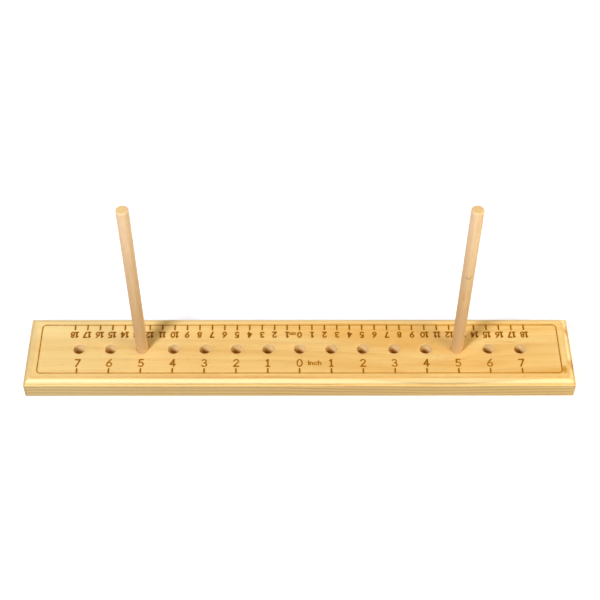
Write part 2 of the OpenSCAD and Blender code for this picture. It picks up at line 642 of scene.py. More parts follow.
@dataclass(frozen=True)
class DowelFinish:
    """Bare hardwood dowel, sanded, with fine upright flecks and painted shade towards its foot."""

    name: str
    axis_x: float
    shift: float
    knot_z: float
    streak_z: float
    mark_side: float
    wood: Colour = srgb(251, 222, 187)
    fleck: Colour = srgb(222, 180, 137)
    blush: Colour = srgb(238, 202, 172)
    # Colour of the painted shade towards the dowel's foot
    handled: Colour = srgb(211, 174, 130)
    cut_end: Colour = srgb(252, 220, 160)
    mark: Colour = srgb(160, 106, 58)
    amber: Colour = srgb(230, 158, 88)
    handled_z: Span = (30.0, 190.0)

    def build(self) -> bpy.types.Material:
        """Make the material.

        Returns:
            The material.
        """
        material = bpy.data.materials.new(self.name)
        tree = Tree(material)
        place_x, y, z = tree.place()
        x = place_x - self.axis_x
        bow = tree.noise(x / 9.0, y / 9.0, z / 70.0 + self.shift, 1.0) * 2.2
        figure = tree.noise((x + bow) / 1.5, y / 4.0 + self.shift, z / 60.0, 2.0)
        pore = tree.noise(x / 0.2, y / 0.2, z / 5.0 + self.shift, 1.0)
        open_pore = pore.rise(0.6, 0.78)
        fine = tree.noise(x / 0.5, y / 0.5, z / 16.0 + self.shift, 3.0, 0.6)
        cloud = tree.noise(x / 8.0, y / 8.0, z / 26.0 + self.shift, 2.0)
        ends = tree.facing("Z").rise(0.6, 0.95)
        colour = tree.mix(self.wood, self.fleck, figure.rise(0.35, 0.75) * 0.35)
        colour = colour.towards(self.blush, cloud.rise(0.45, 0.7) * 0.5)
        # Painted shade: darker towards the foot, fading out near the top
        colour = colour.towards(self.handled, z.fall(*self.handled_z) * 0.95)
        mottle = tree.noise(x / 1.6, y / 1.6, z / 3.4 + self.shift, 2.0)
        colour = colour.scaled(0.94 + fine * 0.1 + mottle * 0.06 - open_pore * 0.14)
        colour = colour.towards(self.cut_end, ends * (0.85 - pore.rise(0.45, 0.7) * 0.5))
        colour = self.add_marks(tree, colour, x, y, z)
        rough = 0.5 + cloud * 0.12 + open_pore * 0.1 + ends * 0.15
        height = fine * 0.02 - open_pore * 0.02
        tree.finish(colour, rough, height, lacquer=0.0, relief=0.6)
        return material

    def add_marks(self, tree: Tree, colour: Wire, x: Wire, y: Wire, z: Wire) -> Wire:
        """Add the pin knot and the amber streak below it, both on the front of the dowel.

        Args:
            tree: The material's node tree.
            colour: Colour of the wood without them.
            x: X from the dowel's axis.
            y: Y of the shaded point.
            z: Z of the shaded point.

        Returns:
            The colour with them.
        """
        front = y.rise(-0.5, -2.5)
        side, up = x - self.mark_side, z - self.knot_z
        away = (up * up * 0.45 + side * side).root()
        crescent = away.rise(1.0, 1.7) * away.fall(1.8, 2.5) * up.rise(1.0, -1.6)
        colour = colour.towards(self.mark, crescent * front * 0.6)
        frayed = tree.noise(x / 0.7, y / 0.7, z / 9.0, 2.0).rise(0.35, 0.6)
        streak = ((z - self.streak_z) / 9.0).magnitude().fall(0.2, 1.0)
        band = ((side + 1.4) / 1.5).magnitude().fall(0.2, 1.0)
        return colour.towards(self.amber, streak * band * frayed * front * 0.7)


@dataclass(frozen=True)
class FloorFinish:
    """Matt white floor that keeps the shadow, bounces little light back up, and stays white far away."""

    name: str = "white_floor"
    seen: Colour = (0.62, 0.62, 0.62)
    bounced: Colour = (0.3, 0.29, 0.26)
    glow: Colour = (0.62, 0.65, 0.75)
    far_glow: Colour = (1.0, 1.0, 1.0)
    near: float = 350.0
    far: float = 1400.0

    def build(self) -> bpy.types.Material:
        """Make the material.

        Returns:
            The material.
        """
        material = bpy.data.materials.new(self.name)
        tree = Tree(material)
        looked_at = tree.looked_at()
        colour = tree.mix(self.bounced, self.seen, looked_at)
        matt = tree.node("ShaderNodeBsdfDiffuse", "BSDF", None, {"Color": colour})
        x, y, _ = tree.place()
        distant = (x * x + y * y).root().rise(self.near, self.far)
        glow = tree.mix(self.glow, self.far_glow, distant).scaled(looked_at)
        white = tree.node("ShaderNodeEmission", "Emission", None, {"Color": glow, "Strength": 1.0})
        both = tree.node("ShaderNodeAddShader", "Shader", None, {0: matt, 1: white})
        tree.node("ShaderNodeOutputMaterial", "", None, {"Surface": both})
        return material


# Meshes


@dataclass
class MeshDraft:
    """Vertices, faces and vertex values of a piece, before they become a mesh."""

    places: list[Place] = field(default_factory=list)
    faces: list[tuple[int, ...]] = field(default_factory=list)
    slots: list[int] = field(default_factory=list)
    values: dict[str, dict[int, float]] = field(default_factory=dict)

    WELD: ClassVar[float] = 0.0005

    def add_ring(self, ring: Iterable[Place], **values: float) -> list[int]:
        """Add vertices that share the same values.

        Args:
            ring: Places of the vertices.
            values: Value of each named attribute at all of them.

        Returns:
            Their numbers.
        """
        first = len(self.places)
        self.places.extend(ring)
        numbers = list(range(first, len(self.places)))
        for name, value in values.items():
            self.values.setdefault(name, {}).update((n, value) for n in numbers)
        return numbers

    def join(self, one: Sequence[int], other: Sequence[int], slot: int = 0) -> None:
        """Join two closed rings of as many vertices with four-sided faces.

        Args:
            one: First ring.
            other: Second ring.
            slot: Material slot of the faces.
        """
        count = len(one)
        for i in range(count):
            j = (i + 1) % count
            self.faces.append((one[i], one[j], other[j], other[i]))
            self.slots.append(slot)

    def cap(self, ring: Sequence[int], centre: Place, slot: int = 0) -> None:
        """Close a ring with triangles that meet in a centre.

        Args:
            ring: The ring.
            centre: Place of the centre.
            slot: Material slot of the faces.
        """
        middle = self.add_ring([centre])[0]
        for i, vertex in enumerate(ring):
            self.faces.append((vertex, ring[(i + 1) % len(ring)], middle))
            self.slots.append(slot)

    def build(
        self, name: str, materials: Sequence[bpy.types.Material], crease_deg: float,
    ) -> bpy.types.Object:
        """Make the object, in metres, with welded seams and smooth shading between its creases.

        Args:
            name: Name of the piece.
            materials: Materials for its slots.
            crease_deg: Edges that turn by more than this stay sharp.

        Returns:
            The object, linked to the scene.
        """
        mesh = bpy.data.meshes.new(name)
        mesh.from_pydata([Vector(p) * MM for p in self.places], [], self.faces)
        for key, known in self.values.items():
            layer = mesh.attributes.new(key, "FLOAT", "POINT")
            layer.data.foreach_set("value", [known.get(i, 0.0) for i in range(len(self.places))])
        mesh.polygons.foreach_set("material_index", self.slots)
        work = bmesh.new()
        work.from_mesh(mesh)
        bmesh.ops.remove_doubles(work, verts=work.verts, dist=self.WELD * MM)
        bmesh.ops.recalc_face_normals(work, faces=work.faces)
        work.to_mesh(mesh)
        work.free()
        mesh.polygons.foreach_set("use_smooth", [True] * len(mesh.polygons))
        mesh.set_sharp_from_angle(angle=math.radians(crease_deg))
        for material in materials:
            mesh.materials.append(material)
        piece = bpy.data.objects.new(name, mesh)
        bpy.context.scene.collection.objects.link(piece)
        return piece


def bend(
    centre: Point, radii: Point, start_deg: float, end_deg: float, step_deg: float = 15.0,
) -> tuple[Point, ...]:
    """Points along an arc of an ellipse.

    Args:
        centre: Centre of the ellipse.
        radii: Its half width and half height.
        start_deg: Angle of the first point.
        end_deg: Angle of the last point.
        step_deg: Largest angle from one point to the next.

    Returns:
        The points, both ends included.
    """
    steps = max(1, math.ceil(abs(end_deg - start_deg) / step_deg - TINY))
    angles = (math.radians(start_deg + (end_deg - start_deg) * i / steps) for i in range(steps + 1))
    return tuple((centre[0] + radii[0] * math.cos(a), centre[1] + radii[1] * math.sin(a)) for a in angles)


def swing(start: Point, pull: Point, end: Point, steps: int = 5) -> tuple[Point, ...]:
    """Points along a curve that leaves one point towards a second and reaches a third from there.

    Args:
        start: First point.
        pull: The point that both ends of the curve aim at.
        end: Last point.
        steps: Number of pieces of the curve.

    Returns:
        The points, both ends included.
    """
    shares = [i / steps for i in range(steps + 1)]
    return tuple(
        tuple((1 - t) ** 2 * a + 2 * t * (1 - t) * b + t * t * c for a, b, c in zip(start, pull, end))
        for t in shares
    )


def round_corner(before: Point, corner: Point, after: Point, radius: float, steps: int = 4) -> list[Point]:
    """Points of the arc that rounds the corner of an outline.

    Args:
        before: A point of the outline before the corner.
        corner: The corner.
        after: A point of the outline after the corner.
        radius: Radius of the rounding.
        steps: Number of pieces of the arc.

    Returns:
        The points of the arc, both ends included.
    """
    c = Vector(corner)
    to_before, to_after = (Vector(before) - c).normalized(), (Vector(after) - c).normalized()
    half = to_before.angle(to_after) / 2
    centre = c + (to_before + to_after).normalized() * (radius / math.sin(half))
    first = c + to_before * (radius / math.tan(half)) - centre
    last = c + to_after * (radius / math.tan(half)) - centre
    return [tuple(centre + first.slerp(last, i / steps) * radius) for i in range(steps + 1)]


# Engraving


@dataclass(frozen=True)
class Stroke:
    """One engraved line, cut by a small round bit that scorches the wood."""

    points: tuple[Point, ...]
    width: float
    depth: float
    burn: float

    # Foot of the groove's wall in half widths and depths, reach and strength of the scorching beside the
    # lip, its strength at the lip, and how much darker the bit burns where it starts and stops
    WALL_SHARE: ClassVar[float] = 0.55
    WALL_DEPTH: ClassVar[float] = 0.78
    HALO: ClassVar[float] = 0.75
    HALO_BURN: ClassVar[float] = 0.55
    LIP_BURN: ClassVar[float] = 0.5
    DWELL: ClassVar[float] = 0.3
    SHARPEST_COSINE: ClassVar[float] = 0.6
    CAP_STEP_DEG: ClassVar[float] = 36.0

    @property
    def closed(self) -> bool:
        """Whether the stroke ends where it starts."""
        return len(self.points) > 3 and math.dist(self.points[0], self.points[-1]) < TINY

    def loops(self) -> list[list[Point]]:
        """Closed loops that the mesh follows.

        Returns:
            Those at the foot of the wall, at the lip, and at the edge of the scorching beside it.
        """
        half = self.width / 2
        reaches = (half * self.WALL_SHARE, half, half + self.HALO)
        return [loop for reach in reaches for loop in self.offset(reach)]

    def offset(self, reach: float) -> list[list[Point]]:
        """Closed loops at one distance from the line.

        Args:
            reach: The distance.

        Returns:
            One loop round an open stroke, or the outer and inner loops of a closed one.
        """
        path = np.array(self.points[:-1] if self.closed else self.points)
        ahead = np.roll(path, -1, axis=0) - path
        if not self.closed:
            ahead[-1] = ahead[-2]
        ahead /= np.linalg.norm(ahead, axis=1)[:, None]
        behind = np.roll(ahead, 1, axis=0)
        if not self.closed:
            behind[0] = ahead[0]
        along = ahead + behind
        along /= np.linalg.norm(along, axis=1)[:, None]
        stretch = 1 / np.maximum(np.sum(along * ahead, axis=1), self.SHARPEST_COSINE)
        aside = np.stack([-along[:, 1], along[:, 0]], axis=1) * (reach * stretch)[:, None]
        left, right = path + aside, path - aside
        if self.closed:
            return [left.tolist(), right.tolist()]
        turned = math.degrees(math.atan2(ahead[-1][1], ahead[-1][0]))
        back = math.degrees(math.atan2(-ahead[0][1], -ahead[0][0]))
        front_cap = bend(tuple(path[-1]), (reach, reach), turned + 90, turned - 90, self.CAP_STEP_DEG)
        back_cap = bend(tuple(path[0]), (reach, reach), back + 90, back - 90, self.CAP_STEP_DEG)
        return [[*left[:-1].tolist(), *front_cap, *right[-2:0:-1].tolist(), *back_cap[:-1]]]

    def spans(self) -> list[tuple[float, ...]]:
        """Straight spans of the line.

        Returns:
            For each span its two ends, half width, depth, and scorching at both ends.
        """
        last = len(self.points) - 1
        burns = [self.burn] * (last + 1)
        if not self.closed:
            burns[0] = burns[last] = self.burn * (1 + self.DWELL)
        pairs = zip(self.points, self.points[1:], burns, burns[1:])
        return [(*a, *b, self.width / 2, self.depth, burn_a, burn_b) for a, b, burn_a, burn_b in pairs]


ONE = (((0.02, 0.82), (0.19, 1.0)), ((0.19, 1.0), (0.19, 0.0)), ((0.02, 0.0), (0.36, 0.0)))
SIX = (bend((0.25, 0.29), (0.25, 0.29), 90, 450), swing((0.42, 1.0), (0.12, 0.74), (0.004, 0.34)))
ARCH = (*bend((0.21, 0.43), (0.21, 0.21), 180, 0, 22.5), (0.42, 0.0))
GLYPHS: dict[str, tuple[float, tuple[tuple[Point, ...], ...]]] = {
    "0": (0.54, (bend((0.27, 0.5), (0.27, 0.5), 90, 450),)),
    "1": (0.38, ONE),
    "2": (0.5, ((*bend((0.25, 0.74), (0.24, 0.26), 165, -30), (0.0, 0.0)), ((0.0, 0.0), (0.52, 0.0)))),
    "3": (0.48, (bend((0.21, 0.75), (0.21, 0.25), 150, -90), bend((0.21, 0.25), (0.26, 0.25), 90, -150))),
    "4": (0.54, (((0.38, 1.0), (0.0, 0.3)), ((0.0, 0.3), (0.54, 0.3)), ((0.38, 1.0), (0.38, 0.0)))),
    "5": (0.48, (
        ((0.44, 1.0), (0.08, 1.0)),
        ((0.08, 1.0), (0.05, 0.55)),
        bend((0.22, 0.31), (0.26, 0.31), 130, -140),
    )),
    "6": (0.5, SIX),
    "7": (0.5, (((0.0, 1.0), (0.5, 1.0)), ((0.5, 1.0), (0.14, 0.0)))),
    "8": (0.5, (bend((0.25, 0.76), (0.19, 0.24), 90, 450), bend((0.25, 0.26), (0.25, 0.26), 90, 450))),
    "9": (0.5, tuple(tuple((0.5 - x, 1.0 - y) for x, y in stroke) for stroke in SIX)),
    "I": (0.0, (((0.0, 0.0), (0.0, 1.0)),)),
    "c": (0.42, (bend((0.24, 0.32), (0.24, 0.32), 50, 310),)),
    "h": (0.42, (((0.0, 1.0), (0.0, 0.0)), ARCH)),
    "m": (0.84, (((0.0, 0.64), (0.0, 0.0)), ARCH, tuple((x + 0.42, y) for x, y in ARCH))),
    "n": (0.42, (((0.0, 0.64), (0.0, 0.0)), ARCH)),
}


class Reading(Enum):
    """The side of the board that a label is read from."""

    FRONT = 1
    BACK = -1


@dataclass(frozen=True)
class Label:
    """A number or a unit's name, engraved with single strokes."""

    text: str
    x: float
    y: float
    height: float
    width: float
    depth: float
    burn: float
    reading: Reading = Reading.FRONT
    gap: float = 0.2
    stretch: float = 1.0

    def strokes(self) -> list[Stroke]:
        """Strokes of the label, centred on its x and y.

        Returns:
            The strokes.
        """
        total = sum(GLYPHS[c][0] for c in self.text) + self.gap * (len(self.text) - 1)
        up = self.reading.value * self.height
        along = up * self.stretch
        start, made = -total / 2, []
        for character in self.text:
            glyph_width, paths = GLYPHS[character]
            for path in paths:
                points = tuple((self.x + (start + x) * along, self.y + (y - 0.5) * up) for x, y in path)
                made.append(Stroke(points, self.width, self.depth, self.burn))
            start += glyph_width + self.gap
        return made


def both_sides(count: int) -> range:
    """Return the numbers of a row's places, counted from the middle one."""
    return range(-count, count + 1)


@dataclass
class Engraving:
    """The border line and the two scales on top of the board."""

    hole_pitch: float
    holes_per_side: int
    border_l: float = 419.1
    border_w: float = 48.26
    border_r: float = 3.0
    line_w: float = 0.7
    line_depth: float = 0.3
    # The runs are scorched less than the ends as painted light and shade of the grooves
    run_burn: float = 0.78
    run_pieces: int = 40
    end_burn: float = 0.85
    tick_w: float = 0.9
    front_tick: float = 4.6
    front_burn: float = 1.0
    back_tick: float = 5.2
    back_burn: float = 0.9
    back_pitch: float = 10.16
    back_per_side: int = 18
    inch_number: Label = Label(
        "0", x=0.0, y=-14.2, height=6.65, width=0.84, depth=0.26, burn=1.0, stretch=1.12)
    inch_word: Label = Label(
        "Inch", x=12.1, y=-14.1, height=3.7, width=0.6, depth=0.2, burn=1.0, gap=0.26, stretch=1.3)
    cm_number: Label = Label(
        "0", x=0.0, y=14.15, height=5.1, width=0.78, depth=0.24, burn=1.25, reading=Reading.BACK, gap=0.17)
    cm_word: Label = Label(
        "cm", x=-5.7, y=14.8, height=3.0, width=0.5, depth=0.2, burn=0.95, reading=Reading.BACK, gap=0.26,
        stretch=1.1)

    def border(self) -> list[Stroke]:
        """Border line.

        Returns:
            Two faint runs along the grain, and two darker ends across it with their corners: the runs are
            scorched lighter as painted light on their walls, and the ends darker as painted shade.
        """
        half_l, half_w, r = self.border_l / 2, self.border_w / 2, self.border_r
        straight = half_l - r
        xs = [-straight + 2 * straight * i / self.run_pieces for i in range(self.run_pieces + 1)]
        runs = [tuple((x, side * half_w) for x in xs) for side in (-1, 1)]
        made = [Stroke(run, self.line_w, self.line_depth, self.run_burn) for run in runs]
        for side in (-1, 1):
            corners = bend((0, 0), (r, r), -90, 0, 18.0), bend((0, 0), (r, r), 0, 90, 18.0)
            low = [(side * (straight + x), r - half_w + y) for x, y in corners[0]]
            high = [(side * (straight + x), half_w - r + y) for x, y in corners[1]]
            made.append(Stroke((*low, *high), self.line_w, self.line_depth, self.end_burn))
        return made

    def ticks(self, per_side: int, pitch: float, y: float, reach: float, burn: float) -> list[Stroke]:
        """Row of ticks that start on the border line.

        Args:
            per_side: Ticks on each side of the middle one.
            pitch: Distance from one to the next.
            y: The border line.
            reach: Length of a tick.
            burn: How dark a tick is scorched.

        Returns:
            The strokes.
        """
        end = y - math.copysign(reach - self.tick_w / 2, y)
        lines = (((i * pitch, y), (i * pitch, end)) for i in both_sides(per_side))
        return [Stroke(line, self.tick_w, self.line_depth, burn) for line in lines]

    def numbers(self, per_side: int, pitch: float, pattern: Label) -> list[Stroke]:
        """Numbers of one scale, counted from the middle of the board.

        Args:
            per_side: Numbers on each side of the middle one.
            pitch: Distance from one to the next.
            pattern: How they are cut.

        Returns:
            The strokes.
        """
        labels = (replace(pattern, text=str(abs(i)), x=i * pitch) for i in both_sides(per_side))
        return [stroke for label in labels for stroke in label.strokes()]

    def strokes(self) -> list[Stroke]:
        """All strokes of the engraving.

        Returns:
            The strokes.
        """
        edge = self.border_w / 2
        inches, centimetres = (self.holes_per_side, self.hole_pitch), (self.back_per_side, self.back_pitch)
        made = self.border()
        made += self.ticks(*inches, -edge, self.front_tick, self.front_burn)
        made += self.ticks(*centimetres, edge, self.back_tick, self.back_burn)
        made += self.numbers(*inches, self.inch_number)
        made += self.numbers(*centimetres, self.cm_number)
        return made + self.inch_word.strokes() + self.cm_word.strokes()


@dataclass
class CutPlane:
    """A flat outline filled with triangles that follow engraved strokes and leave out round holes."""

    outline: Sequence[Point]
    holes: Sequence[Sequence[Point]] = ()
    strokes: Sequence[Stroke] = ()
    grid: float = 6.0
    clearance: float = 1.4

    FAR: ClassVar[float] = 1e3
    BLOCK: ClassVar[int] = 1500
    WELD: ClassVar[float] = 1e-4
    WITHIN_HOLE: ClassVar[float] = 0.999

    def nearest(self, points: np.ndarray) -> tuple[np.ndarray, np.ndarray, np.ndarray, np.ndarray]:
        """The nearest stroke to each point.

        Args:
            points: The points, one a row.

        Returns:
            Distance from the stroke's lip, distance from its middle in half widths, depth, and scorching.
        """
        spans = np.array([span for stroke in self.strokes for span in stroke.spans()])
        if not len(spans):
            far = np.full(len(points), self.FAR)
            return far, far, far * 0, far * 0
        start, run = spans[:, 0:2], spans[:, 2:4] - spans[:, 0:2]
        half, depth, burns = spans[:, 4], spans[:, 5], spans[:, 6:8]
        length2 = np.maximum((run ** 2).sum(1), TINY ** 2)
        found = []
        for block in np.array_split(points, max(1, len(points) // self.BLOCK)):
            away = block[:, None, :] - start[None]
            share = np.clip((away * run[None]).sum(2) / length2, 0, 1)
            gap = np.linalg.norm(away - share[..., None] * run[None], axis=2)
            pick = np.argmin(gap - half, axis=1)
            rows = np.arange(len(block))
            t, d, h = share[rows, pick], gap[rows, pick], half[pick]
            burn = burns[pick, 0] * (1 - t) + burns[pick, 1] * t
            found.append(np.stack([d - h, d / h, depth[pick], burn]))
        return tuple(np.concatenate(found, axis=1))

    def spare_points(self) -> list[Point]:
        """Even grid of points that keeps the triangles of the plain areas small.

        Returns:
            The points, clear of the outline, the holes and the strokes.
        """
        edge = np.array(self.outline)
        low, high = edge.min(0) + self.clearance, edge.max(0) - self.clearance
        counts = np.maximum(((high - low) / self.grid).astype(int), 1)
        xs, ys = (np.linspace(low[k], high[k], counts[k] + 1) for k in (0, 1))
        grid = np.stack(np.meshgrid(xs, ys), axis=-1).reshape(-1, 2)
        keep = self.nearest(grid)[0] > self.clearance
        for hole in self.holes:
            ring = np.array(hole)
            reach = np.linalg.norm(ring - ring.mean(0), axis=1).max() + self.clearance
            keep &= np.linalg.norm(grid - ring.mean(0), axis=1) > reach
        return grid[keep].tolist()

    def triangles(self) -> tuple[np.ndarray, list[tuple[int, ...]]]:
        """Fill the outline.

        Returns:
            The points, one a row, and the triangles as point numbers.
        """
        points: list[Point] = []
        edges: list[tuple[int, int]] = []
        loops = [self.outline, *self.holes]
        loops += [loop for stroke in self.strokes for loop in stroke.loops()]
        for loop in loops:
            first, count = len(points), len(loop)
            points.extend(loop)
            edges.extend((first + i, first + (i + 1) % count) for i in range(count))
        for stroke in self.strokes:
            first = len(points)
            points.extend(stroke.points)
            edges.extend((first + i, first + i + 1) for i in range(len(stroke.points) - 1))
        points.extend(self.spare_points())
        filled = delaunay_2d_cdt([Vector(p) for p in points], edges, [], 1, self.WELD, False)
        corners = np.array([tuple(v) for v in filled[0]])
        faces = np.array(filled[2])
        middles = corners[faces].mean(1)
        keep = np.ones(len(faces), bool)
        for hole in self.holes:
            ring = np.array(hole)
            reach = np.linalg.norm(ring - ring.mean(0), axis=1).min()
            keep &= np.linalg.norm(middles - ring.mean(0), axis=1) > reach * self.WITHIN_HOLE
        return corners, [tuple(face) for face in faces[keep].tolist()]

    def add_to(self, draft: MeshDraft, z: float) -> None:
        """Add the plane to a mesh, with its grooves sunk and scorched.

        Args:
            draft: The mesh.
            z: Height of the plane.
        """
        corners, faces = self.triangles()
        beside, within, depth, burn = self.nearest(corners)
        sunk = np.interp(within, (0.0, Stroke.WALL_SHARE, 1.0), (1.0, Stroke.WALL_DEPTH, 0.0)) * depth
        groove = np.interp(within, (Stroke.WALL_SHARE, 1.0), (1.0, Stroke.LIP_BURN))
        halo = np.interp(beside, (0.0, Stroke.HALO), (Stroke.HALO_BURN, 0.0))
        scorched = np.where(beside < -TINY, groove, halo) * burn
        first = len(draft.places)
        draft.places.extend((x, y, z - drop) for (x, y), drop in zip(corners.tolist(), sunk.tolist()))
        draft.values.setdefault("burn", {}).update(enumerate(scorched.tolist(), first))
        draft.faces.extend(tuple(first + i for i in face) for face in faces)
        draft.slots.extend([0] * len(faces))


# Sub-assemblies


@dataclass(frozen=True)
class SectionPoint:
    """A point of the moulding's section, with its wear and its burnish and painted shade."""

    inset: float
    z: float
    wear: float = 0.0
    burnish: float = 0.0


@dataclass
class MouldedBoard:
    """Pine board with a routed edge, a row of blind holes and an engraved top."""

    length: float
    width: float
    thickness: float
    hole_r: float
    hole_floor: float
    mouth_bevel: float
    hole_pitch: float
    holes_per_side: int = 7
    edge_step: float = 0.8
    edge_r: float = 3.9
    edge_ledge: float = 1.3
    bottom_bevel: float = 0.5
    arris_r: float = 0.3
    corner_r: float = 0.9
    crease_r: float = 0.18
    plain_margin: float = 1.9
    rubbed_margin: float = 0.9
    round_steps: int = 14
    side_step: float = 9.0
    under_grid: float = 12.0
    hole_sides: int = 56
    wall_rows: int = 6
    mouth_turn_deg: Span = (112.0, 180.0)
    mouth_step_deg: float = 23.0
    rag: float = 0.05
    point_r: float = 1.1
    point_depth: float = 0.9

    RAG_WAVES: ClassVar[tuple[Point, ...]] = ((0.83, 0.0), (0.31, 1.3), (2.1, 0.4))
    TEARS: ClassVar[tuple[Place, ...]] = ((0.05, 3, 1.7), (0.035, 7, 2.9))

    def section(self) -> list[SectionPoint]:
        """Section of the moulded edge, from the flat top over the edge to the underside.

        Returns:
            Its points.
        """
        top, ledge_z = self.thickness, self.thickness - self.edge_step - self.edge_r
        crease, bevel = self.edge_ledge + self.edge_r, self.bottom_bevel
        made = [SectionPoint(crease + self.plain_margin, top)]
        # Burnish and painted shade along the top's crease, the step and the top of the round, and a little
        # at its foot
        made.append(SectionPoint(crease + self.rubbed_margin, top, burnish=0.5))
        for inset, z in round_corner((crease + 2, top), (crease, top), (crease, top - 1), self.crease_r, 3):
            made.append(SectionPoint(inset, z, wear=0.5, burnish=1.0))
        made.append(SectionPoint(crease, top - self.edge_step + 0.02, burnish=0.9))
        for i in range(self.round_steps + 1):
            turn = math.radians(90 * i / self.round_steps)
            inset, z = crease - self.edge_r * math.sin(turn), ledge_z + self.edge_r * math.cos(turn)
            foot = 0.12 if i == self.round_steps else 0.0
            made.append(SectionPoint(inset, z, burnish=max(0.7 - 0.3 * i, foot)))
        made.append(SectionPoint(self.arris_r + 0.5, ledge_z))
        for inset, z in round_corner((2, ledge_z), (0, ledge_z), (0, 0), self.arris_r):
            made.append(SectionPoint(inset, z, wear=1.0))
        face_rows = (ledge_z - 1.2, ledge_z * 0.66, ledge_z * 0.33, bevel + 1.0)
        made += [SectionPoint(0.0, z) for z in face_rows]
        outline = ((0, ledge_z), (0, bevel), (bevel, 0), (3, 0))
        for corner in zip(outline, outline[1:], outline[2:]):
            for inset, z in round_corner(*corner, self.arris_r, 3):
                made.append(SectionPoint(inset, z, wear=0.7))
        under_rows = (1.4, 3.0)
        return made + [SectionPoint(inset, 0.0) for inset in under_rows]

    def ring(self, inset: float) -> list[Point]:
        """Outline of the board at one distance from its faces, with as many points at every distance.

        Args:
            inset: The distance.

        Returns:
            Its points, anticlockwise from the front left corner.
        """
        r = self.corner_r
        half_l, half_w = self.length / 2 - inset - r, self.width / 2 - inset - r
        across, along = round(self.width / self.side_step), round(self.length / self.side_step)
        sides = [((-1, -1), 180, along), ((1, -1), 270, across), ((1, 1), 0, along), ((-1, 1), 90, across)]
        made: list[Point] = []
        for k, ((sx, sy), start, count) in enumerate(sides):
            corner = bend((sx * half_l, sy * half_w), (r, r), start, start + 90, 30.0)
            (nx, ny), next_start, _ = sides[(k + 1) % 4]
            goal = bend((nx * half_l, ny * half_w), (r, r), next_start, next_start + 90, 30.0)[0]
            made.extend(corner)
            here_x, here_y = corner[-1]
            run_x, run_y = goal[0] - here_x, goal[1] - here_y
            made.extend((here_x + run_x * i / count, here_y + run_y * i / count) for i in range(1, count))
        return made

    def ragged(self, number: int, wear: float) -> float:
        """Return how far the worn edge sits back at one of a ring's points."""
        wave = math.prod(math.sin(number * pace + start) for pace, start in self.RAG_WAVES)
        return self.rag * wear * (1 + wave) / 2

    def mouth(self, place: int) -> list[Point]:
        """Rim of one hole on the top, a little uneven where the drill tore the grain.

        Args:
            place: Number of the hole, counted from the middle one.

        Returns:
            Its points, anticlockwise.
        """
        centre, made = place * self.hole_pitch, []
        for i in range(self.hole_sides):
            turn = 2 * math.pi * i / self.hole_sides
            torn = sum(size * math.sin(count * turn + place * start) for size, count, start in self.TEARS)
            reach = self.hole_r + self.mouth_bevel + torn
            made.append((centre + reach * math.cos(turn), reach * math.sin(turn)))
        return made

    def add_hole(self, draft: MeshDraft, place: int) -> None:
        """Add the wall and floor of one hole.

        Args:
            draft: The board's mesh.
            place: Number of the hole, counted from the middle one.
        """
        centre, bevel, top = place * self.hole_pitch, self.mouth_bevel, self.thickness
        # A little burnish and painted shade round the hole's mouth
        rim = draft.add_ring([(x, y, top) for x, y in self.mouth(place)], burnish=0.15)

        def circle(reach: float, z: float) -> list[Place]:
            """Points of a circle about the hole's axis."""
            turns = (2 * math.pi * i / self.hole_sides for i in range(self.hole_sides))
            return [(centre + reach * math.cos(t), reach * math.sin(t), z) for t in turns]

        middle = (self.hole_r + bevel, top - bevel)
        for reach, z in bend(middle, (bevel, bevel), *self.mouth_turn_deg, self.mouth_step_deg):
            ring = draft.add_ring(circle(reach, z), burnish=0.1)
            draft.join(rim, ring)
            rim = ring
        wall = top - bevel - self.hole_floor
        for i in range(1, self.wall_rows + 1):
            ring = draft.add_ring(circle(self.hole_r, top - bevel - wall * i / self.wall_rows))
            draft.join(rim, ring, 1)
            rim = ring
        for reach in (self.hole_r * 0.6, self.point_r):
            ring = draft.add_ring(circle(reach, self.hole_floor))
            draft.join(rim, ring, 1)
            rim = ring
        draft.cap(rim, (centre, 0.0, self.hole_floor - self.point_depth), 1)

    def build(self) -> bpy.types.Object:
        """Build and dress the board.

        Returns:
            The piece.
        """
        draft = MeshDraft(values={"burn": {}})
        points = self.section()
        rings = []
        for point in points:
            flat = self.ring(point.inset)
            places = []
            for number, (x, y) in enumerate(flat):
                back = self.ragged(number, point.wear if point.z < self.thickness - 1 else 0.0)
                shrink_x, shrink_y = 1 - 2 * back / self.length, 1 - 2 * back / self.width
                places.append((x * shrink_x, y * shrink_y, point.z))
            rings.append(draft.add_ring(places, wear=point.wear, burnish=point.burnish))
        for one, other in zip(rings, rings[1:]):
            draft.join(one, other)
        holes = both_sides(self.holes_per_side)
        strokes = Engraving(self.hole_pitch, self.holes_per_side).strokes()
        top = CutPlane(self.ring(points[0].inset), [self.mouth(i) for i in holes], strokes)
        top.add_to(draft, self.thickness)
        CutPlane(self.ring(points[-1].inset), grid=self.under_grid).add_to(draft, 0.0)
        for i in holes:
            self.add_hole(draft, i)
        bored = BoredWoodFinish(self.thickness, self.thickness - self.hole_floor)
        return draft.build("pine_board", [PineFinish().build(), bored.build()], crease_deg=38)


